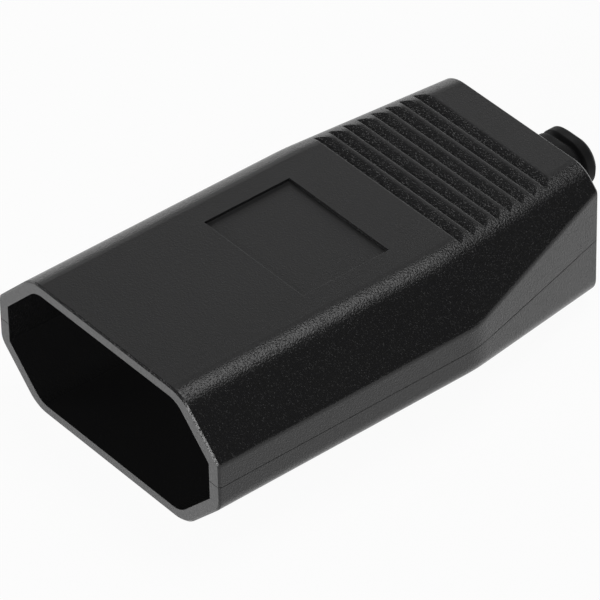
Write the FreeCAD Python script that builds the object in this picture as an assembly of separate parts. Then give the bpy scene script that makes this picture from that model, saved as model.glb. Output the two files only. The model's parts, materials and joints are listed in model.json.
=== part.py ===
"""Rewireable two-pin cable socket: two moulded half shells round brass contacts, a cord grip and a grommet.

Working frame, in millimetres: the mouth plane is y = 0, the cable leaves towards +Y, and the shells part at
z = 0. The finished pieces are moved so that the origin lies under the middle, on the face the part rests on.
"""
import FreeCAD
import Part
import math
import os

# Body outline: an octagon, twice as wide as high, that tapers in plan towards the cable
BODY_LENGTH = 61.4
BODY_WIDTH = 40.0
BODY_HEIGHT = 18.8
SIDE_FLAT = 6.1
TAPER_LENGTH = 23.4
TAPER_BLEND = 2.6
REAR_WIDTH = 27.9
REAR_SIDE_FLAT = 13.9
TOP_EDGE_ROUND = 4.5
SIDE_EDGE_ROUND = 0.8
LOWER_EDGE_ROUND = 2.4
MOUTH_EDGE = 0.25
REAR_EDGE = 0.25

# Most that the rounds on the two edges of a sloping face may take of its width, where it is narrowest
TOP_ROUND_SHARE = 0.6
SIDE_ROUND_SHARE = 0.35

# Walls
TOP_WALL = 1.35
SIDE_WALL = 1.75
CHAMFER_WALL = 1.6
REAR_WALL = 2.0
PARTITION = 2.0
RIB = 1.5

# Lengths along the body, from the mouth to the cable; the sleeves and the wire bay share what is left over
RECESS_DEPTH = 17.0
CONTACT_PLAY = 0.1
TERMINAL_LENGTH = 7.5
CLAMP_WIDTH = 4.0
CLAMP_TO_GROMMET = 1.4
SLEEVE_SHARE = 0.75

# Parting line between the shells
PARTING_GAP = 0.08
PARTING_DEPTH = 0.2
TONGUE_THICKNESS = 0.7
TONGUE_HEIGHT = 0.8
TONGUE_END_MARGIN = 1.0
TONGUE_CLEARANCE = 0.1

# Grip grooves across the top and the underside
GROOVE_COUNT = 8
GROOVE_PITCH = 2.0
GROOVE_WIDTH = 1.5
GROOVE_DEPTH = 0.35
GROOVE_WALL_ANGLE = 68.0
CREST_ROUND = 1.5
GRIP_REAR_BAND = 4.8

# Recessed panel on the top
PANEL_WIDTH = 17.7
PANEL_LENGTH = 12.65
PANEL_DEPTH = 0.4
PANEL_TO_GRIP = 7.05

# Contacts
PIN_SPACING = 18.4
PIN_HOLE_RADIUS = 2.5
SLEEVE_BORE_RADIUS = 2.05
SLEEVE_WALL = 0.75
SLEEVE_END_WALL = 0.5
SLIT_WIDTH = 0.7
SLIT_SHARE = 0.67
CRADLE_CLEARANCE = 0.1
CRADLE_SHARE = 0.47
SPRING_THICKNESS = 0.4
SPRING_END_ROOM = 1.3
SPRING_OPENING = 1.2
SPRING_CLEARANCE = 0.03

# Terminals
TERMINAL_WIDTH = 7.0
TERMINAL_HEIGHT = 7.0
TERMINAL_EDGE = 0.4
WIRE_HOLE_RADIUS = 1.4
WIRE_HOLE_DEPTH = 6.5
WIRE_GUIDE_CLEARANCE = 0.6

# Cord grip, for a flat two-core cable
CABLE_WIDTH = 5.5
CABLE_HEIGHT = 3.5
CABLE_SQUEEZE = 0.3
CABLE_SIDE_ROOM = 0.3
CLAMP_SEAT = 0.6
CLAMP_THICKNESS = 2.4
CLAMP_SCREW_SPACING = 12.4
CLAMP_BOSS_RADIUS = 2.6

# Grommet
GROMMET_WALL = 1.5
GROMMET_NECK_WALL = 0.9
GROMMET_FLANGE_STEP = 0.65
GROMMET_FLANGE = 2.0
GROMMET_LENGTH = 8.8
GROMMET_END_RING = 2.1
GROMMET_RING_PITCH = 2.7
GROMMET_RING_EDGE = 0.5
GROMMET_GROOVE_COUNT = 1
GROMMET_CLEARANCE = 0.1

# Screws: shank radius, head radius, head height, length under the head
SHELL_SCREW = {"shank": 1.5, "head": 2.75, "head_height": 1.9, "length": 12.0}
CLAMP_SCREW = {"shank": 1.3, "head": 2.4, "head_height": 1.7, "length": 7.0}
TERMINAL_SCREW = {"shank": 1.5, "head": 2.5, "head_height": 1.8, "length": 3.0}
DRIVE_WIDTH = 0.7
DRIVE_DEPTH = 0.9
DRIVE_REACH = 0.75
SCREW_CLEARANCE = 0.05
THROUGH_HOLE_CLEARANCE = 0.15
HEAD_CLEARANCE = 0.25
SHELL_SCREW_SINK = 0.7
SHELL_BOSS_WALL = 1.2
SCREW_TIP_ROOM = 0.6

# Stations along the body, worked out from the lengths above, from the mouth back or the rear forward
TOTAL_LENGTH = BODY_LENGTH + GROMMET_LENGTH
TAPER_START = BODY_LENGTH - TAPER_LENGTH
PARTITION_REAR = RECESS_DEPTH + PARTITION
SLEEVE_FRONT = PARTITION_REAR + CONTACT_PLAY
CHAMBER_REAR = BODY_LENGTH - REAR_WALL
FLANGE_FRONT = CHAMBER_REAR - GROMMET_FLANGE
CLAMP_FRONT = FLANGE_FRONT - CLAMP_TO_GROMMET - CLAMP_WIDTH
CLAMP_MIDDLE = CLAMP_FRONT + CLAMP_WIDTH / 2
SLEEVE_LENGTH = SLEEVE_SHARE * (CLAMP_FRONT - SLEEVE_FRONT - TERMINAL_LENGTH - CONTACT_PLAY - RIB)
TERMINAL_FRONT = SLEEVE_FRONT + SLEEVE_LENGTH
TERMINAL_REAR = TERMINAL_FRONT + TERMINAL_LENGTH
TERMINAL_MIDDLE = TERMINAL_FRONT + TERMINAL_LENGTH / 2
WIRE_RIB_FRONT = TERMINAL_REAR + CONTACT_PLAY
WIRE_RIB_MIDDLE = WIRE_RIB_FRONT + RIB / 2
CRADLE_MIDDLE = SLEEVE_FRONT + CRADLE_SHARE * SLEEVE_LENGTH
SPRING_FRONT = SLEEVE_FRONT + SPRING_END_ROOM
SPRING_REAR = CRADLE_MIDDLE - RIB / 2 - SPRING_END_ROOM
GRIP_FRONT = BODY_LENGTH - GRIP_REAR_BAND - (GROOVE_COUNT - 1) * GROOVE_PITCH - GROOVE_WIDTH
PANEL_REAR = GRIP_FRONT - PANEL_TO_GRIP

# Half sizes and radii that several pieces share
HALF_HEIGHT = BODY_HEIGHT / 2
FLOOR = -HALF_HEIGHT + TOP_WALL
SLEEVE_RADIUS = SLEEVE_BORE_RADIUS + SLEEVE_WALL
HEAD_SEAT = -HALF_HEIGHT + SHELL_SCREW_SINK + SHELL_SCREW["head_height"]
HEAD_RECESS_RADIUS = SHELL_SCREW["head"] + HEAD_CLEARANCE
SHELL_BOSS_RADIUS = HEAD_RECESS_RADIUS + SHELL_BOSS_WALL
CABLE_STRAIGHT = (CABLE_WIDTH - CABLE_HEIGHT) / 2
GROMMET_BORE = CABLE_HEIGHT / 2
GROMMET_RADIUS = GROMMET_BORE + GROMMET_WALL
GROMMET_NECK = GROMMET_BORE + GROMMET_NECK_WALL
SIDES = {"left": -1, "right": 1}

# Reach of the cutting tools beyond the body
OVERSHOOT = 5.0
NEAR = 1e-4

X = FreeCAD.Vector(1, 0, 0)
Y = FreeCAD.Vector(0, 1, 0)
Z = FreeCAD.Vector(0, 0, 1)
RISING = (X + Z).normalize()
FALLING = (X - Z).normalize()
SLOPE = RISING.getAngle(Z)


def point(x, y, z):
    return FreeCAD.Vector(x, y, z)


def block(low, high):
    """Box between two opposite corners."""
    return Part.makeBox(high[0] - low[0], high[1] - low[1], high[2] - low[2], point(*low))


def slice_of(y_low, y_high, z_low=-BODY_HEIGHT, z_high=BODY_HEIGHT):
    """Box wider than the body, for cutting a length or a height out of it."""
    return block((-BODY_WIDTH, y_low, z_low), (BODY_WIDTH, y_high, z_high))


def upright(radius, x, y, z_low, z_high):
    return Part.makeCylinder(radius, z_high - z_low, point(x, y, z_low), Z)


def lengthwise(radius, x, y_low, y_high):
    return Part.makeCylinder(radius, y_high - y_low, point(x, y_low, 0), Y)


def runs_lengthwise(edge):
    first, last = edge.Vertexes[0].Point, edge.Vertexes[-1].Point
    return abs(first.y - last.y) > NEAR


def edges_at_height(shape, height):
    """Long edges where the flat top and bottom faces meet the sloping faces."""
    return [e for e in shape.Edges if runs_lengthwise(e) and abs(abs(e.CenterOfMass.z) - height) < NEAR]


def side_edges(shape, height, side):
    """Long edges of the flat sides, above the parting plane for side 1 and below it for side -1."""
    return [e for e in shape.Edges if runs_lengthwise(e) and 0 < side * e.CenterOfMass.z < height - NEAR]


def edges_on_station(shape, y):
    return [e for e in shape.Edges if all(abs(v.Point.y - y) < NEAR for v in e.Vertexes)]


# Outer and inner envelopes


def tapered_slab(front_half, rear_half, inset, across, depth):
    """Slab about the Y axis whose half width, measured along across, tapers smoothly towards the cable."""
    slope = math.atan2(front_half - rear_half, TAPER_LENGTH)
    fall = math.tan(slope)
    bend_y = TAPER_START - inset * math.tan(slope / 2)
    half = front_half - inset
    reach = TAPER_BLEND / 2
    stop = BODY_LENGTH + OVERSHOOT
    run = [
        (-OVERSHOOT, half),
        (bend_y - reach, half),
        (bend_y, half),
        (bend_y + reach, half - reach * fall),
        (stop, half - (stop - bend_y) * fall),
    ]
    right = [Y * y + across * u for y, u in run]
    left = [Y * y - across * u for y, u in run]
    edges = []
    for side in (right, left):
        blend = Part.BezierCurve()
        blend.setPoles(side[1:4])
        edges += [Part.makeLine(side[0], side[1]), blend.toShape(), Part.makeLine(side[3], side[4])]
    edges += [Part.makeLine(right[0], left[0]), Part.makeLine(right[4], left[4])]
    face = Part.Face(Part.Wire(Part.__sortEdges__(edges)))
    normal = across.cross(Y)
    face.translate(normal * (-depth / 2))
    return face.extrude(normal * depth)


def envelope(top_inset, side_inset, chamfer_inset):
    """Endless octagonal body, with each family of faces moved inwards by its own inset."""
    chamfer_front = point(BODY_WIDTH / 2, 0, SIDE_FLAT / 2).dot(RISING)
    chamfer_rear = point(REAR_WIDTH / 2, 0, REAR_SIDE_FLAT / 2).dot(RISING)
    shape = tapered_slab(BODY_WIDTH / 2, REAR_WIDTH / 2, side_inset, X, BODY_HEIGHT - 2 * top_inset)
    for across in (RISING, FALLING):
        slab = tapered_slab(chamfer_front, chamfer_rear, chamfer_inset, across, 2 * BODY_WIDTH)
        shape = shape.common(slab)
    return shape


def outer_body():
    body = envelope(0, 0, 0).common(slice_of(0, BODY_LENGTH))
    narrowest = (BODY_HEIGHT - REAR_SIDE_FLAT) / 2 / math.sin(SLOPE)
    top_limit = TOP_ROUND_SHARE * narrowest / math.tan(SLOPE / 2)
    side_limit = SIDE_ROUND_SHARE * narrowest / math.tan((math.pi / 2 - SLOPE) / 2)
    for radius, side in ((SIDE_EDGE_ROUND, 1), (LOWER_EDGE_ROUND, -1)):
        body = body.makeFillet(min(radius, side_limit), side_edges(body, HALF_HEIGHT, side))
    body = body.makeFillet(min(TOP_EDGE_ROUND, top_limit), edges_at_height(body, HALF_HEIGHT))
    body = body.makeChamfer(MOUTH_EDGE, edges_on_station(body, 0))
    return body.makeChamfer(REAR_EDGE, edges_on_station(body, BODY_LENGTH))


def plug_recess():
    """Hollow that takes the plug, with its long edges rounded."""
    space = envelope(TOP_WALL, SIDE_WALL, CHAMFER_WALL).common(slice_of(-OVERSHOOT, RECESS_DEPTH))
    return space.makeFillet(TOP_EDGE_ROUND - TOP_WALL, edges_at_height(space, HALF_HEIGHT - TOP_WALL))


def contact_chamber():
    """Hollow behind the partition, for the contacts and the cord grip."""
    return envelope(TOP_WALL, SIDE_WALL, CHAMFER_WALL).common(slice_of(PARTITION_REAR, CHAMBER_REAR))


def side_strips(inset_out, inset_in, margin, height):
    """Pair of strips along the chamber's side walls, standing on the parting plane."""
    outer = envelope(TOP_WALL, inset_out, CHAMFER_WALL)
    inner = envelope(TOP_WALL, inset_in, CHAMFER_WALL)
    span = slice_of(PARTITION_REAR + margin, CHAMBER_REAR - margin, 0, height)
    return outer.common(span).cut(inner)


# Features of the shells


def grip_groove(near):
    """Cutter for one sawtooth groove: a steep wall, then a slope that rises to a rounded crest."""
    wall_run = GROOVE_DEPTH / math.tan(math.radians(GROOVE_WALL_ANGLE))
    slope = math.atan2(GROOVE_DEPTH, GROOVE_WIDTH - wall_run)
    crest = near + GROOVE_WIDTH + CREST_ROUND * math.tan(slope / 2)
    axis = point(-BODY_WIDTH, crest, HALF_HEIGHT - CREST_ROUND)
    turns = (slope, slope / 2, 0)
    rounded = [axis + (Z * math.cos(turn) - Y * math.sin(turn)) * CREST_ROUND for turn in turns]
    flats = Part.makePolygon([
        rounded[-1],
        point(-BODY_WIDTH, crest, HALF_HEIGHT + OVERSHOOT),
        point(-BODY_WIDTH, near, HALF_HEIGHT + OVERSHOOT),
        point(-BODY_WIDTH, near, HALF_HEIGHT),
        point(-BODY_WIDTH, near + wall_run, HALF_HEIGHT - GROOVE_DEPTH),
        rounded[0],
    ])
    outline = Part.Wire(flats.Edges + [Part.Arc(*rounded).toShape()])
    return Part.Face(outline).extrude(X * (2 * BODY_WIDTH))


def grip_grooves():
    """Row of grooves across the top."""
    stations = [GRIP_FRONT + index * GROOVE_PITCH for index in range(GROOVE_COUNT)]
    return Part.makeCompound([grip_groove(near) for near in stations])


def label_panel():
    half = PANEL_WIDTH / 2
    low = (-half, PANEL_REAR - PANEL_LENGTH, HALF_HEIGHT - PANEL_DEPTH)
    return block(low, (half, PANEL_REAR, HALF_HEIGHT + OVERSHOOT))


def parting_groove():
    """Fine shadow gap round the outside, where the edges of the two shells meet."""
    core = envelope(0, PARTING_DEPTH, 0).common(slice_of(PARTING_DEPTH, BODY_LENGTH - PARTING_DEPTH))
    return slice_of(-OVERSHOOT, BODY_LENGTH + OVERSHOOT, -PARTING_GAP / 2, PARTING_GAP / 2).cut(core)


def obround(radius, y_low, y_high):
    """Prism along Y with the flat cable's outline, grown to the given end radius."""
    straight = CABLE_STRAIGHT
    top_left, top_right = point(-straight, y_low, radius), point(straight, y_low, radius)
    low_left, low_right = point(-straight, y_low, -radius), point(straight, y_low, -radius)
    edges = [
        Part.makeLine(top_left, top_right),
        Part.Arc(top_right, point(straight + radius, y_low, 0), low_right).toShape(),
        Part.makeLine(low_right, low_left),
        Part.Arc(low_left, point(-straight - radius, y_low, 0), top_left).toShape(),
    ]
    return Part.Face(Part.Wire(edges)).extrude(Y * (y_high - y_low))


def ribs(chamber):
    """Cross walls that carry the contacts and part the wires, trimmed to the chamber."""
    stations = (CRADLE_MIDDLE - RIB / 2, TERMINAL_FRONT - CONTACT_PLAY - RIB, WIRE_RIB_FRONT)
    walls = Part.makeCompound([slice_of(y, y + RIB) for y in stations]).common(chamber)
    holes = []
    for side in SIDES.values():
        x = side * PIN_SPACING / 2
        holes.append(lengthwise(SLEEVE_RADIUS + CRADLE_CLEARANCE, x, SLEEVE_FRONT, TERMINAL_FRONT))
        holes.append(lengthwise(WIRE_HOLE_RADIUS + WIRE_GUIDE_CLEARANCE, x, TERMINAL_REAR, CLAMP_FRONT))
    return walls.cut(Part.makeCompound(holes))


def shell_screw_places():
    return {"front": CRADLE_MIDDLE, "rear": WIRE_RIB_MIDDLE}


def hollow_body():
    """Both shells in one: walls, partition, ribs and screw bosses, before they are parted."""
    chamber = contact_chamber()
    bosses = [
        upright(SHELL_BOSS_RADIUS, 0, y, -HALF_HEIGHT, HALF_HEIGHT)
        for y in shell_screw_places().values()
    ]
    inside = ribs(chamber).fuse(Part.makeCompound(bosses).common(chamber))
    body = outer_body().cut(plug_recess()).cut(chamber).fuse(inside)
    cuts = [obround(GROMMET_NECK + GROMMET_CLEARANCE, CHAMBER_REAR - NEAR, BODY_LENGTH + OVERSHOOT)]
    for side in SIDES.values():
        x = side * PIN_SPACING / 2
        cuts.append(lengthwise(PIN_HOLE_RADIUS, x, RECESS_DEPTH - NEAR, PARTITION_REAR + NEAR))
    grooves = grip_grooves()
    underside = grooves.copy()
    underside.rotate(point(0, 0, 0), Y, 180)
    return body.cut(Part.makeCompound(cuts)).cut(grooves).cut(underside).cut(parting_groove())


def upper_shell(body):
    shell = body.common(slice_of(-OVERSHOOT, BODY_LENGTH + OVERSHOOT, 0, BODY_HEIGHT))
    tip = HEAD_SEAT + SHELL_SCREW["length"]
    pilots = [
        upright(SHELL_SCREW["shank"] + SCREW_CLEARANCE, 0, y, -OVERSHOOT, tip + SCREW_TIP_ROOM)
        for y in shell_screw_places().values()
    ]
    rebate = side_strips(
        SIDE_WALL - TONGUE_THICKNESS - TONGUE_CLEARANCE,
        SIDE_WALL + TONGUE_CLEARANCE,
        TONGUE_END_MARGIN - TONGUE_CLEARANCE,
        TONGUE_HEIGHT + TONGUE_CLEARANCE,
    )
    return shell.cut(Part.makeCompound(pilots)).cut(rebate).cut(label_panel()).removeSplitter()


def lower_shell(body):
    shell = body.common(slice_of(-OVERSHOOT, BODY_LENGTH + OVERSHOOT, -BODY_HEIGHT, 0))
    tongue = side_strips(SIDE_WALL - TONGUE_THICKNESS, SIDE_WALL, TONGUE_END_MARGIN, TONGUE_HEIGHT)
    posts = []
    pilots = []
    pilot_end = CLAMP_SEAT + CLAMP_THICKNESS - CLAMP_SCREW["length"] - SCREW_TIP_ROOM
    pilot_radius = CLAMP_SCREW["shank"] + SCREW_CLEARANCE
    for side in SIDES.values():
        x = side * CLAMP_SCREW_SPACING / 2
        posts.append(upright(CLAMP_BOSS_RADIUS, x, CLAMP_MIDDLE, FLOOR - NEAR, CLAMP_SEAT))
        pilots.append(upright(pilot_radius, x, CLAMP_MIDDLE, pilot_end, OVERSHOOT))
    half = CABLE_WIDTH / 2 - CABLE_SIDE_ROOM
    saddle = block(
        (-half, CLAMP_MIDDLE - RIB / 2, FLOOR - NEAR), (half, CLAMP_MIDDLE + RIB / 2, -CABLE_HEIGHT / 2)
    )
    for y in shell_screw_places().values():
        pilots.append(upright(SHELL_SCREW["shank"] + THROUGH_HOLE_CLEARANCE, 0, y, -BODY_HEIGHT, OVERSHOOT))
        pilots.append(upright(HEAD_RECESS_RADIUS, 0, y, -BODY_HEIGHT, HEAD_SEAT))
    return shell.fuse([tongue, saddle] + posts).cut(Part.makeCompound(pilots)).removeSplitter()


# Contacts and their springs


def contact(side):
    """Turned brass contact: slit sleeve for the pin, then the block that clamps the wire."""
    x = side * PIN_SPACING / 2
    sleeve = lengthwise(SLEEVE_RADIUS, x, SLEEVE_FRONT, TERMINAL_FRONT)
    terminal = block(
        (x - TERMINAL_WIDTH / 2, TERMINAL_FRONT, -TERMINAL_HEIGHT / 2),
        (x + TERMINAL_WIDTH / 2, TERMINAL_REAR, TERMINAL_HEIGHT / 2),
    )
    terminal = terminal.makeChamfer(TERMINAL_EDGE, [e for e in terminal.Edges if runs_lengthwise(e)])
    slit = block(
        (x - SLIT_WIDTH / 2, SLEEVE_FRONT - OVERSHOOT, -OVERSHOOT),
        (x + SLIT_WIDTH / 2, SLEEVE_FRONT + SLIT_SHARE * SLEEVE_LENGTH, OVERSHOOT),
    )
    tapped_radius = TERMINAL_SCREW["shank"] + SCREW_CLEARANCE
    cuts = [
        lengthwise(SLEEVE_BORE_RADIUS, x, SLEEVE_FRONT - OVERSHOOT, TERMINAL_FRONT - SLEEVE_END_WALL),
        lengthwise(WIRE_HOLE_RADIUS, x, TERMINAL_REAR - WIRE_HOLE_DEPTH, TERMINAL_REAR + OVERSHOOT),
        upright(tapped_radius, x, TERMINAL_MIDDLE, 0, TERMINAL_HEIGHT),
        slit,
    ]
    return sleeve.fuse(terminal).cut(Part.makeCompound(cuts)).removeSplitter()


def contact_spring(side):
    """Open steel ring that keeps the slit sleeve closed on the pin."""
    x = side * PIN_SPACING / 2
    inner = SLEEVE_RADIUS + SPRING_CLEARANCE
    ring = lengthwise(inner + SPRING_THICKNESS, x, SPRING_FRONT, SPRING_REAR)
    ring = ring.cut(lengthwise(inner, x, SPRING_FRONT, SPRING_REAR))
    half = SPRING_OPENING / 2
    inside, outside = sorted((x, x + side * OVERSHOOT))
    return ring.cut(block((inside, SPRING_FRONT, -half), (outside, SPRING_REAR, half)))


# Cord grip and grommet


def cable_clamp():
    """Bar across the cable, with an arch that squeezes it and a hole at each end."""
    rear = CLAMP_FRONT + CLAMP_WIDTH
    bar_half = CLAMP_SCREW_SPACING / 2 + CLAMP_WIDTH / 2
    bar = block((-bar_half, CLAMP_FRONT, CLAMP_SEAT), (bar_half, rear, CLAMP_SEAT + CLAMP_THICKNESS))
    arch_half = CABLE_WIDTH / 2 + CABLE_SIDE_ROOM
    arch_top = CABLE_HEIGHT / 2 - CABLE_SQUEEZE
    cuts = [block((-arch_half, CLAMP_FRONT, -OVERSHOOT), (arch_half, rear, arch_top))]
    hole_radius = CLAMP_SCREW["shank"] + THROUGH_HOLE_CLEARANCE
    for side in SIDES.values():
        x = side * CLAMP_SCREW_SPACING / 2
        cuts.append(upright(hole_radius, x, CLAMP_MIDDLE, -OVERSHOOT, OVERSHOOT))
    return bar.cut(Part.makeCompound(cuts))


def cable_grommet():
    """Oval rubber sleeve: a flange inside the rear wall, a neck through it and a ringed tail outside."""
    last_groove = TOTAL_LENGTH - GROMMET_END_RING
    grooves = [last_groove - index * GROMMET_RING_PITCH for index in range(GROMMET_GROOVE_COUNT)]
    stations = [BODY_LENGTH] + sorted(grooves) + [TOTAL_LENGTH]
    rings = []
    for front, rear in zip(stations, stations[1:]):
        ring = obround(GROMMET_RADIUS, front, rear)
        edges = edges_on_station(ring, rear)
        if front > BODY_LENGTH:
            edges += edges_on_station(ring, front)
        rings.append(ring.makeChamfer(GROMMET_RING_EDGE, edges))
    flange = obround(GROMMET_RADIUS + GROMMET_FLANGE_STEP, FLANGE_FRONT, CHAMBER_REAR)
    neck = obround(GROMMET_NECK, CHAMBER_REAR, BODY_LENGTH)
    bore = obround(GROMMET_BORE, FLANGE_FRONT - OVERSHOOT, TOTAL_LENGTH + OVERSHOOT)
    return flange.fuse([neck] + rings).cut(bore).removeSplitter()


# Screws


def screw(sizes, crossed):
    """Cheese-head screw with its head seat at the origin and its shank along -Z."""
    head = upright(sizes["head"], 0, 0, 0, sizes["head_height"])
    shank = upright(sizes["shank"], 0, 0, -sizes["length"], 0)
    reach = sizes["head"] * DRIVE_REACH if crossed else sizes["head"] + OVERSHOOT
    half = DRIVE_WIDTH / 2
    floor = sizes["head_height"] - DRIVE_DEPTH
    drive = block((-reach, -half, floor), (reach, half, floor + OVERSHOOT))
    if crossed:
        drive = drive.fuse(block((-half, -reach, floor), (half, reach, floor + OVERSHOOT)))
    return head.fuse(shank).cut(drive).removeSplitter()


def placed(shape, x, y, z, upside_down=False):
    if upside_down:
        shape.rotate(point(0, 0, 0), X, 180)
    shape.translate(point(x, y, z))
    return shape


def pieces():
    """Every piece of the socket by name, in the working frame."""
    body = hollow_body()
    found = {"upper_shell": upper_shell(body), "lower_shell": lower_shell(body)}
    for name, side in SIDES.items():
        found[name + "_contact"] = contact(side)
        found[name + "_contact_spring"] = contact_spring(side)
        found[name + "_terminal_screw"] = placed(
            screw(TERMINAL_SCREW, crossed=False),
            side * PIN_SPACING / 2,
            TERMINAL_MIDDLE,
            TERMINAL_HEIGHT / 2,
        )
        found[name + "_clamp_screw"] = placed(
            screw(CLAMP_SCREW, crossed=True),
            side * CLAMP_SCREW_SPACING / 2,
            CLAMP_MIDDLE,
            CLAMP_SEAT + CLAMP_THICKNESS,
        )
    for name, y in shell_screw_places().items():
        found[name + "_shell_screw"] = placed(
            screw(SHELL_SCREW, crossed=True), 0, y, HEAD_SEAT, upside_down=True
        )
    found["cable_clamp"] = cable_clamp()
    found["cable_grommet"] = cable_grommet()
    return found


def main():
    os.makedirs("parts", exist_ok=True)
    for name, shape in pieces().items():
        shape.translate(point(0, -TOTAL_LENGTH / 2, HALF_HEIGHT))
        shape.exportStep(os.path.join("parts", name + ".step"))
        print(name, len(shape.Solids), "solid", round(shape.Volume, 2), "mm3, valid", shape.isValid())


main()
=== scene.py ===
"""Looks of the two-pin cable socket: moulded black plastic, rubber and metal under soft studio light."""
import json
import math

import bmesh
import bpy
from mathutils import Matrix, Vector

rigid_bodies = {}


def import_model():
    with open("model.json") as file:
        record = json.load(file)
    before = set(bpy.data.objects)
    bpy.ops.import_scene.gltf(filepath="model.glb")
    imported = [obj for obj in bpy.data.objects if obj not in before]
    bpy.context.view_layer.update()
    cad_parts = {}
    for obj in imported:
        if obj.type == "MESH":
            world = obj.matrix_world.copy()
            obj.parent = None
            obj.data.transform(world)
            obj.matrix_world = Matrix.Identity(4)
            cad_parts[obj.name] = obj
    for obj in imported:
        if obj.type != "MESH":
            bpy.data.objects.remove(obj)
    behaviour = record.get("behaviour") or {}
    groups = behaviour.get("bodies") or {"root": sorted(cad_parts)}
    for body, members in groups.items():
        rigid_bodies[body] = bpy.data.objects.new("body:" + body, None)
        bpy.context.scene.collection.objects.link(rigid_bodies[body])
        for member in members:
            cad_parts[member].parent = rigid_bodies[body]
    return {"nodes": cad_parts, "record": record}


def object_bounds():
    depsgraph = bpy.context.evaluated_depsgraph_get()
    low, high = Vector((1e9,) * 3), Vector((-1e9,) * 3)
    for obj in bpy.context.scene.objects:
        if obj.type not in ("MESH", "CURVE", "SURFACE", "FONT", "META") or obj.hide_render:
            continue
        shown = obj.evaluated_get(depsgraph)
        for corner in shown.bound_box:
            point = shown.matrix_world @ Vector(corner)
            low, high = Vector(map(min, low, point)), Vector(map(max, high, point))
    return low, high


for leftover in list(bpy.data.objects):
    bpy.data.objects.remove(leftover)

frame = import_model()
cad_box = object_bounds()

MM = 0.001

# Places along the body in millimetres from the mouth, and the length over which a change there is blurred
RIM_DEPTH = 0.01
GRIP_FRONT = 40.5
GRIP_REAR = 57.2
PLACE_BLUR = 0.03

# Radius that the shading gives to sharp edges of each material, in metres
EDGE_RADIUS = 0.06 * MM
GRIP_EDGE_RADIUS = 0.25 * MM
CLAMP_EDGE_RADIUS = 0.15 * MM
RUBBER_EDGE_RADIUS = 0.3 * MM
METAL_EDGE_RADIUS = 0.1 * MM
EDGE_SAMPLES = 6

# Shells: colours from dark to light of the plain surface and of the painted sheen on the mouth's front face
# (a lighter colour that stands in for reflected light), reflectivity and roughness
SHELL_COLOUR = (0.016, 0.016, 0.0165)
PLAIN_COLOURS = ((0.014, 0.014, 0.0145), (0.018, 0.018, 0.0185))
PAINTED_LIP_SHEEN_COLOURS = ((0.06, 0.06, 0.061), (0.12, 0.12, 0.121))
SHELL_REFLECTION = 0.4
LEVEL_ROUGHNESS = 0.4
TILTED_ROUGHNESS = 0.25

# Grain of the shells: number per millimetre, reach of a dome in grains, height of the ripples, depth in mm
DOMES_PER_MM = 4.4
DOME_REACH = 0.4
RIPPLES_PER_MM = 4.6
RIPPLE_SHARE = 1.8
GRAIN_DEPTH = 0.022

# Lean from level, in degrees, over which a face starts to count as tilted, steep or upright
TILTED_LEAN = (2.0, 12.0)
STEEP_LEAN = (30.0, 42.0)
UPRIGHT_LEAN = (60.0, 80.0)

# Strength of the grain on level faces, rounds and grooves, sloping faces, upright walls and the rim
LEVEL_GRAIN = 0.4
ROUND_GRAIN = 1.1
SLOPE_GRAIN = 0.85
WALL_GRAIN = 1.6
RIM_GRAIN = 1.0

# Rubber and clamp plastic: colours from dark to light, and the rubber's reflectivity and range of roughness
RUBBER_COLOUR = (0.006, 0.006, 0.0065)
RUBBER_COLOURS = ((0.004, 0.004, 0.0045), (0.008, 0.008, 0.0085))
RUBBER_REFLECTION = 0.27
RUBBER_ROUGHNESS = (0.58, 0.7)
CLAMP_COLOUR = (0.012, 0.012, 0.012)
CLAMP_COLOURS = ((0.01, 0.01, 0.01), (0.015, 0.015, 0.015))

# Patches of darker and lighter colour per millimetre
PLAIN_PATCHES = 0.08
LIP_SHEEN_PATCHES = 4.0
RUBBER_PATCHES = 0.15
CLAMP_PATCHES = 0.2
METAL_PATCHES = 0.4

# Metals by slot: name, dark and light colour, lowest and highest roughness
METALS = {
    "contact_brass": ("turned_brass", (0.62, 0.43, 0.18), (0.76, 0.57, 0.28), 0.22, 0.36),
    "spring_steel": ("spring_steel", (0.36, 0.37, 0.39), (0.46, 0.47, 0.49), 0.28, 0.42),
    "screw_steel": ("zinc_plated_steel", (0.55, 0.56, 0.57), (0.66, 0.67, 0.68), 0.25, 0.4),
}

# Camera that took the photograph, worked out from the object's straight edges
CAMERA_AZIMUTH = 51.181
CAMERA_ELEVATION = 38.699
CAMERA_ROLL = -1.238
CAMERA_AIM = Vector((-3.655, -4.052, 5.517)) * MM
CAMERA_DISTANCE = 704.21 * MM
CAMERA_LENS = 365.30
CAMERA_SENSOR = 36.0

# White floor that curves up into a low wall all round, in metres
COVE_RADIUS = 3.0
COVE_BEND = 0.4
COVE_HEIGHT = 0.9
COVE_SEGMENTS = 96
COVE_BEND_STEPS = 12
COVE_MERGE = 1e-6
COVE_SHADOW_SHARE = 0.05
COVE_COLOUR = (0.9, 0.9, 0.9, 1.0)
WORLD_COLOUR = (1.0, 1.0, 1.0, 1.0)
WORLD_LEVEL = 0.05

# Lamps: direction from the object, distance in metres, width and height in metres, radiance
LAMPS = {
    "wall_panel": ((-0.75, 0.6, 0.36), 0.42, (0.476, 0.2), 0.9),
    "overhead_softbox": ((0.0, 0.33, 0.94), 0.6, (0.35, 0.25), 4.1),
    "front_fill": ((-0.61, -0.63, 0.12), 1.0, (0.9, 0.25), 3.0),
    "camera_side": ((0.32, -0.87, 0.36), 0.8, (0.26, 0.2), 14.0),
}


# Building blocks for materials


def new_material(name, colour, roughness):
    """Material with a plain shader, and that shader."""
    material = bpy.data.materials.new(name)
    material.use_nodes = True
    shader = material.node_tree.nodes["Principled BSDF"]
    shader.inputs["Base Color"].default_value = (*colour, 1.0)
    shader.inputs["Roughness"].default_value = roughness
    return material, shader


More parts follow.
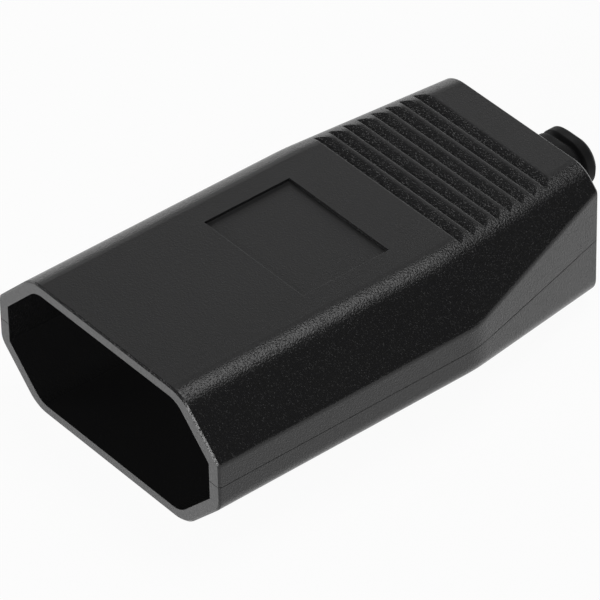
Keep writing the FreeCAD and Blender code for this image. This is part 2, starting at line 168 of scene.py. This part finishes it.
def add(material, kind, **values):
    """Node of the given kind, with its inputs and properties set by name."""
    node = material.node_tree.nodes.new(kind)
    for key, value in values.items():
        if key in node.inputs:
            node.inputs[key].default_value = value
        else:
            setattr(node, key, value)
    return node


def join(material, source, target):
    material.node_tree.links.new(source, target)


def feed(material, value, socket):
    """Gives an input a plain value, or wires a pattern into it."""
    if isinstance(value, bpy.types.NodeSocket):
        join(material, value, socket)
    else:
        socket.default_value = value


def noise(material, grains_per_mm, detail=2.0):
    """Noise fixed to the object, with its grain given per millimetre."""
    coordinates = add(material, "ShaderNodeTexCoord")
    texture = add(material, "ShaderNodeTexNoise", Detail=detail)
    texture.inputs["Scale"].default_value = grains_per_mm / MM
    join(material, coordinates.outputs["Object"], texture.inputs["Vector"])
    return texture.outputs["Fac"]


def domes(material, grains_per_mm, reach):
    """Scattered low domes fixed to the object: 1 on top, 0 between them; reach is in grains."""
    coordinates = add(material, "ShaderNodeTexCoord")
    texture = add(material, "ShaderNodeTexVoronoi")
    texture.inputs["Scale"].default_value = grains_per_mm / MM
    ramp = add(material, "ShaderNodeMapRange", interpolation_type="SMOOTHSTEP")
    ramp.inputs["From Min"].default_value = reach
    ramp.inputs["From Max"].default_value = 0.0
    join(material, coordinates.outputs["Object"], texture.inputs["Vector"])
    join(material, texture.outputs["Distance"], ramp.inputs["Value"])
    return ramp.outputs["Result"]


def spread(material, source, low, high, start=0.3, stop=0.7):
    """Maps the part of a pattern from start to stop onto a range."""
    ramp = add(material, "ShaderNodeMapRange")
    ramp.inputs["From Min"].default_value = start
    ramp.inputs["From Max"].default_value = stop
    ramp.inputs["To Min"].default_value = low
    ramp.inputs["To Max"].default_value = high
    join(material, source, ramp.inputs["Value"])
    return ramp.outputs["Result"]


def blend(material, share, low, high, kind="FLOAT"):
    """Mixes two values or patterns by a share from 0 to 1."""
    mix = add(material, "ShaderNodeMix", data_type=kind)
    join(material, share, mix.inputs["Factor"])
    feed(material, low, mix.inputs["A"])
    feed(material, high, mix.inputs["B"])
    return mix.outputs["Result"]


def mottle(material, grains_per_mm, dark, light):
    """Patches of darker and lighter colour over the surface."""
    return blend(material, noise(material, grains_per_mm), (*dark, 1.0), (*light, 1.0), "RGBA")


def relief(material, shader, height, depth_mm, strength, edge_radius):
    """Fine relief over the surface, with every sharp edge rounded a little."""
    edge = add(material, "ShaderNodeBevel", samples=EDGE_SAMPLES)
    bump = add(material, "ShaderNodeBump", Distance=depth_mm * MM)
    feed(material, edge_radius, edge.inputs["Radius"])
    feed(material, strength, bump.inputs["Strength"])
    join(material, height, bump.inputs["Height"])
    join(material, edge.outputs["Normal"], bump.inputs["Normal"])
    join(material, bump.outputs["Normal"], shader.inputs["Normal"])


def leaning(material, start, stop):
    """Share that grows from 0 to 1 as faces lean from start to stop degrees from level."""
    geometry = add(material, "ShaderNodeNewGeometry")
    parts = add(material, "ShaderNodeSeparateXYZ")
    upward = add(material, "ShaderNodeMath", operation="ABSOLUTE")
    ramp = add(material, "ShaderNodeMapRange", interpolation_type="SMOOTHSTEP")
    ramp.inputs["From Min"].default_value = math.cos(math.radians(start))
    ramp.inputs["From Max"].default_value = math.cos(math.radians(stop))
    join(material, geometry.outputs["Normal"], parts.inputs["Vector"])
    join(material, parts.outputs["Z"], upward.inputs[0])
    join(material, upward.outputs[0], ramp.inputs["Value"])
    return ramp.outputs["Result"]


def behind(material, place_mm):
    """Share from 0 before a place along the body to 1 behind it."""
    coordinates = add(material, "ShaderNodeTexCoord")
    parts = add(material, "ShaderNodeSeparateXYZ")
    join(material, coordinates.outputs["Object"], parts.inputs["Vector"])
    start = cad_box[0].y + place_mm * MM
    return spread(material, parts.outputs["Y"], 0.0, 1.0, start=start, stop=start + PLACE_BLUR * MM)


# Materials


def spark_grain(material):
    """Ripples all over the surface, with scattered domes on them."""
    total = add(material, "ShaderNodeMath", operation="MULTIPLY_ADD")
    total.inputs[1].default_value = RIPPLE_SHARE
    join(material, noise(material, RIPPLES_PER_MM, detail=1.0), total.inputs[0])
    join(material, domes(material, DOMES_PER_MM, DOME_REACH), total.inputs[2])
    return total.outputs[0]


def shell_plastic():
    """Black plastic out of a spark-eroded mould, with painted sheen round the mouth: its front face is
    coloured lighter to stand in for reflected light.
    """
    material, shader = new_material("spark_grained_plastic", SHELL_COLOUR, LEVEL_ROUGHNESS)
    shader.inputs["Specular IOR Level"].default_value = SHELL_REFLECTION
    body = behind(material, RIM_DEPTH)
    plain = mottle(material, PLAIN_PATCHES, *PLAIN_COLOURS)
    # Painted reflection: the mouth's front face gets a lighter colour in place of the bright floor it
    # reflects
    painted_lip_sheen = mottle(material, LIP_SHEEN_PATCHES, *PAINTED_LIP_SHEEN_COLOURS)
    join(material, blend(material, body, painted_lip_sheen, plain, "RGBA"), shader.inputs["Base Color"])
    tilted = leaning(material, *TILTED_LEAN)
    steep = leaning(material, *STEEP_LEAN)
    upright = leaning(material, *UPRIGHT_LEAN)
    join(material, blend(material, tilted, LEVEL_ROUGHNESS, TILTED_ROUGHNESS), shader.inputs["Roughness"])
    wall_strength = blend(material, body, RIM_GRAIN, WALL_GRAIN)
    steep_strength = blend(material, upright, SLOPE_GRAIN, wall_strength)
    tilted_strength = blend(material, steep, ROUND_GRAIN, steep_strength)
    strength = blend(material, tilted, LEVEL_GRAIN, tilted_strength)
    grip_edge = blend(material, behind(material, GRIP_REAR), GRIP_EDGE_RADIUS, EDGE_RADIUS)
    edge_radius = blend(material, behind(material, GRIP_FRONT), EDGE_RADIUS, grip_edge)
    relief(material, shader, spark_grain(material), GRAIN_DEPTH, strength, edge_radius)
    return material


def clamp_plastic():
    material, shader = new_material("clamp_plastic", CLAMP_COLOUR, roughness=0.5)
    join(material, mottle(material, CLAMP_PATCHES, *CLAMP_COLOURS), shader.inputs["Base Color"])
    grain = noise(material, grains_per_mm=4.0)
    relief(material, shader, grain, depth_mm=0.01, strength=0.3, edge_radius=CLAMP_EDGE_RADIUS)
    return material


def grommet_rubber():
    material, shader = new_material("smooth_rubber", RUBBER_COLOUR, roughness=0.6)
    shader.inputs["Specular IOR Level"].default_value = RUBBER_REFLECTION
    join(material, mottle(material, RUBBER_PATCHES, *RUBBER_COLOURS), shader.inputs["Base Color"])
    patches = noise(material, grains_per_mm=0.6)
    join(material, spread(material, patches, *RUBBER_ROUGHNESS), shader.inputs["Roughness"])
    grain = noise(material, grains_per_mm=9.0)
    relief(material, shader, grain, depth_mm=0.006, strength=0.3, edge_radius=RUBBER_EDGE_RADIUS)
    return material


def metal(name, dark, light, low, high):
    """Bare metal with faint machining marks."""
    material, shader = new_material(name, light, low)
    shader.inputs["Metallic"].default_value = 1.0
    join(material, mottle(material, METAL_PATCHES, dark, light), shader.inputs["Base Color"])
    patches = noise(material, grains_per_mm=2.0)
    join(material, spread(material, patches, low, high), shader.inputs["Roughness"])
    marks = noise(material, grains_per_mm=12.0)
    relief(material, shader, marks, depth_mm=0.004, strength=0.3, edge_radius=METAL_EDGE_RADIUS)
    return material


def dress_nodes():
    looks = {slot: metal(*values) for slot, values in METALS.items()}
    looks["shell_plastic"] = shell_plastic()
    looks["clamp_plastic"] = clamp_plastic()
    looks["grommet_rubber"] = grommet_rubber()
    for subpart in frame["record"]["subparts"]:
        node = frame["nodes"][subpart["node"]]
        node.data.materials.clear()
        node.data.materials.append(looks[subpart["material_slot"]])


# Studio


def add_object(name, data):
    item = bpy.data.objects.new(name, data)
    bpy.context.scene.collection.objects.link(item)
    return item


def cove_profile():
    """Radius and height of points from the middle of the floor up to the rim of the wall."""
    inner = COVE_RADIUS - COVE_BEND
    points = [(0.0, 0.0), (inner, 0.0)]
    for step in range(1, COVE_BEND_STEPS + 1):
        turn = math.pi / 2 * step / COVE_BEND_STEPS
        points.append((inner + COVE_BEND * math.sin(turn), COVE_BEND * (1 - math.cos(turn))))
    return points + [(COVE_RADIUS, COVE_HEIGHT)]


def add_cove():
    mesh = bpy.data.meshes.new("cove")
    build = bmesh.new()
    profile = [build.verts.new((radius, 0.0, height)) for radius, height in cove_profile()]
    outline = [build.edges.new(pair) for pair in zip(profile, profile[1:])]
    bmesh.ops.spin(
        build,
        geom=profile + outline,
        cent=(0, 0, 0),
        axis=(0, 0, 1),
        angle=2 * math.pi,
        steps=COVE_SEGMENTS,
    )
    bmesh.ops.remove_doubles(build, verts=build.verts, dist=COVE_MERGE)
    bmesh.ops.recalc_face_normals(build, faces=build.faces)
    build.to_mesh(mesh)
    build.free()
    mesh.shade_smooth()
    mesh.materials.append(white_cove())
    add_object("cove", mesh)


def white_cove():
    """White that also shows white in reflections, and keeps a faint shadow of the object."""
    material = bpy.data.materials.new("white_cove")
    material.use_nodes = True
    material.node_tree.nodes.clear()
    rays = add(material, "ShaderNodeLightPath")
    seen = add(material, "ShaderNodeMath", operation="MAXIMUM")
    seen_all = add(material, "ShaderNodeMath", operation="MAXIMUM")
    share = add(material, "ShaderNodeMath", operation="MULTIPLY")
    share.inputs[1].default_value = 1 - COVE_SHADOW_SHARE
    glow = add(material, "ShaderNodeEmission", Strength=1.0)
    matt = add(material, "ShaderNodeBsdfDiffuse", Color=COVE_COLOUR)
    mixed = add(material, "ShaderNodeMixShader")
    output = add(material, "ShaderNodeOutputMaterial")
    join(material, rays.outputs["Is Camera Ray"], seen.inputs[0])
    join(material, rays.outputs["Is Glossy Ray"], seen.inputs[1])
    join(material, seen.outputs[0], seen_all.inputs[0])
    join(material, rays.outputs["Is Transmission Ray"], seen_all.inputs[1])
    join(material, seen_all.outputs[0], share.inputs[0])
    join(material, share.outputs[0], mixed.inputs["Fac"])
    join(material, matt.outputs[0], mixed.inputs[1])
    join(material, glow.outputs[0], mixed.inputs[2])
    join(material, mixed.outputs[0], output.inputs["Surface"])
    return material


def add_lamps():
    middle = (cad_box[0] + cad_box[1]) / 2
    for name, (direction, distance, size, radiance) in LAMPS.items():
        light = bpy.data.lights.new(name, "AREA")
        light.shape = "RECTANGLE"
        light.size, light.size_y = size
        light.energy = radiance * math.pi * size[0] * size[1]
        lamp = add_object(name, light)
        towards = Vector(direction).normalized()
        turn = towards.to_track_quat("Z", "Y").to_matrix().to_4x4()
        lamp.matrix_world = Matrix.Translation(middle + towards * distance) @ turn


def set_world():
    world = bpy.data.worlds.new("studio")
    world.use_nodes = True
    background = world.node_tree.nodes["Background"]
    background.inputs["Color"].default_value = WORLD_COLOUR
    background.inputs["Strength"].default_value = WORLD_LEVEL
    bpy.context.scene.world = world


def add_camera():
    azimuth = math.radians(CAMERA_AZIMUTH)
    elevation = math.radians(CAMERA_ELEVATION)
    roll = math.radians(CAMERA_ROLL)
    flat = math.cos(elevation)
    back = Vector((math.sin(azimuth) * flat, -math.cos(azimuth) * flat, math.sin(elevation)))
    level = Vector((math.cos(azimuth), math.sin(azimuth), 0.0))
    upward = level.cross(-back)
    right = math.cos(roll) * level + math.sin(roll) * upward
    up = math.cos(roll) * upward - math.sin(roll) * level
    data = bpy.data.cameras.new("camera")
    data.lens = CAMERA_LENS
    data.sensor_width = CAMERA_SENSOR
    camera = add_object("camera", data)
    turn = Matrix((right, up, back)).transposed().to_4x4()
    camera.matrix_world = Matrix.Translation(CAMERA_AIM + back * CAMERA_DISTANCE) @ turn
    bpy.context.scene.camera = camera


dress_nodes()
add_cove()
add_lamps()
set_world()
add_camera()
bpy.context.scene.view_settings.view_transform = "Standard"
